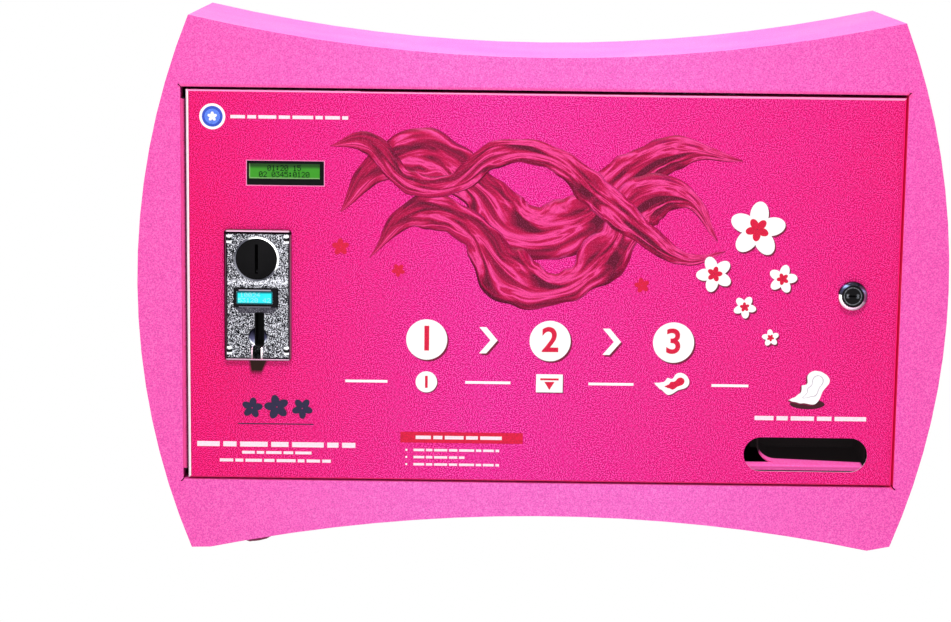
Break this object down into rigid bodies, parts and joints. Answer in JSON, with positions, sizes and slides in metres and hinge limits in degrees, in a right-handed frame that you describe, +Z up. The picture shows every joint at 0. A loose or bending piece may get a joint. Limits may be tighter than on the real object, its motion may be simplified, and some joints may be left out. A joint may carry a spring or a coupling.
{
  "type": "sanitary napkin vending machine",
  "caption": "Coin-operated wall cabinet with a hinged door, coin acceptor, lock, stock display and delivery slot; a motor pushes napkins from a stack into a chute.",
  "frame": {"origin": "on the wall plane, at the middle of the back panel, level with the middle of the door", "axes": "+X to the right along the wall, +Y into the wall, +Z up; the front looks along -Y"},
  "size_m": [0.786, 0.234, 0.5296],
  "materials": {
    "pink_paint": "semi-gloss powder coat",
    "white_paint": "semi-gloss powder coat",
    "printed_sheet": "printed vinyl sheet",
    "galvanised_steel": "galvanised",
    "stainless_steel": "satin",
    "chrome_plate": "bright",
    "hammered_metal": "fine hammered",
    "black_plastic": "smooth moulding",
    "dark_plastic": "matt moulding",
    "white_plastic": "acetal moulding",
    "display_glass": "backlit",
    "window_lens": "lit",
    "circuit_board": "solder mask",
    "motor_steel": "plated",
    "cast_alloy": "as cast"
  },
  "bodies": {
    "cabinet": {"front_fascia": "pink_paint", "right_side_panel": "pink_paint", "left_side_panel": "pink_paint", "top_panel": "pink_paint", "bottom_panel": "pink_paint", "back_panel": "pink_paint", "cable_gland_body": "black_plastic", "cable_gland_nut": "black_plastic", "hinge_frame_leaf": "pink_paint", "hinge_pin": "stainless_steel", "lock_keeper": "galvanised_steel", "chute_tray": "pink_paint", "magazine_shelf": "galvanised_steel", "magazine_channel": "galvanised_steel", "gearbox": "cast_alloy", "motor_can": "motor_steel", "motor_bracket": "galvanised_steel", "rack_guide": "white_plastic", "home_switch": "dark_plastic", "control_board": "circuit_board", "power_supply": "galvanised_steel", "coin_box": "stainless_steel", "coin_box_shelf": "galvanised_steel"},
    "door": {"door_pan": "white_paint", "door_graphic_sheet": "printed_sheet", "door_stiffener_left": "galvanised_steel", "door_stiffener_right": "galvanised_steel", "hinge_door_leaf": "pink_paint", "lock_body": "chrome_plate", "lock_nut": "stainless_steel", "display_bezel": "black_plastic", "display_glass": "display_glass", "display_board": "circuit_board", "coin_faceplate": "hammered_metal", "coin_return_channel": "black_plastic", "coin_return_lip": "chrome_plate", "coin_acceptor_body": "dark_plastic", "coin_window_bezel": "black_plastic", "coin_window_lens": "window_lens", "faceplate_bolt_1": "chrome_plate", "faceplate_bolt_2": "chrome_plate", "faceplate_bolt_3": "chrome_plate", "faceplate_bolt_4": "chrome_plate"},
    "lock": {"lock_plug": "black_plastic", "lock_cam": "stainless_steel", "cam_screw": "stainless_steel"},
    "release_button": {"coin_release_button": "black_plastic"},
    "ejector": {"ejector_blade": "stainless_steel", "ejector_rack": "white_plastic"},
    "pinion": {"drive_pinion": "white_plastic", "output_shaft": "stainless_steel"},
    "follower": {"stack_follower": "stainless_steel"}
  },
  "joints": [
    {"name": "door_swing", "type": "hinge", "parent": "cabinet", "child": "door", "pos_m": [-0.34742, -0.2154, 0], "axis": [0, 0, -1], "range_deg": [0, 95]},
    {"name": "lock_turn", "type": "hinge", "parent": "door", "child": "lock", "pos_m": [0.29992, -0.218, -0.0015], "axis": [0, -1, 0], "range_deg": [0, 90]},
    {"name": "coin_release_press", "type": "slide", "parent": "door", "child": "release_button", "axis": [0, 1, 0], "range_m": [0, 0.004], "stiffness_N_per_m": 500},
    {"name": "ejector_slide", "type": "slide", "parent": "cabinet", "child": "ejector", "axis": [1, 0, 0], "range_m": [0, 0.116]},
    {"name": "pinion_spin", "type": "hinge", "parent": "cabinet", "child": "pinion", "pos_m": [0.04122, -0.0728, -0.073], "axis": [0, 1, 0], "range_deg": [0, 445]},
    {"name": "follower_lift", "type": "slide", "parent": "cabinet", "child": "follower", "axis": [0, 0, 1], "range_m": [0, 0.2]}
  ],
  "couplings": [
    {"joint": "pinion_spin", "follows": "ejector_slide", "rad_per_m": 66.667}
  ]
}
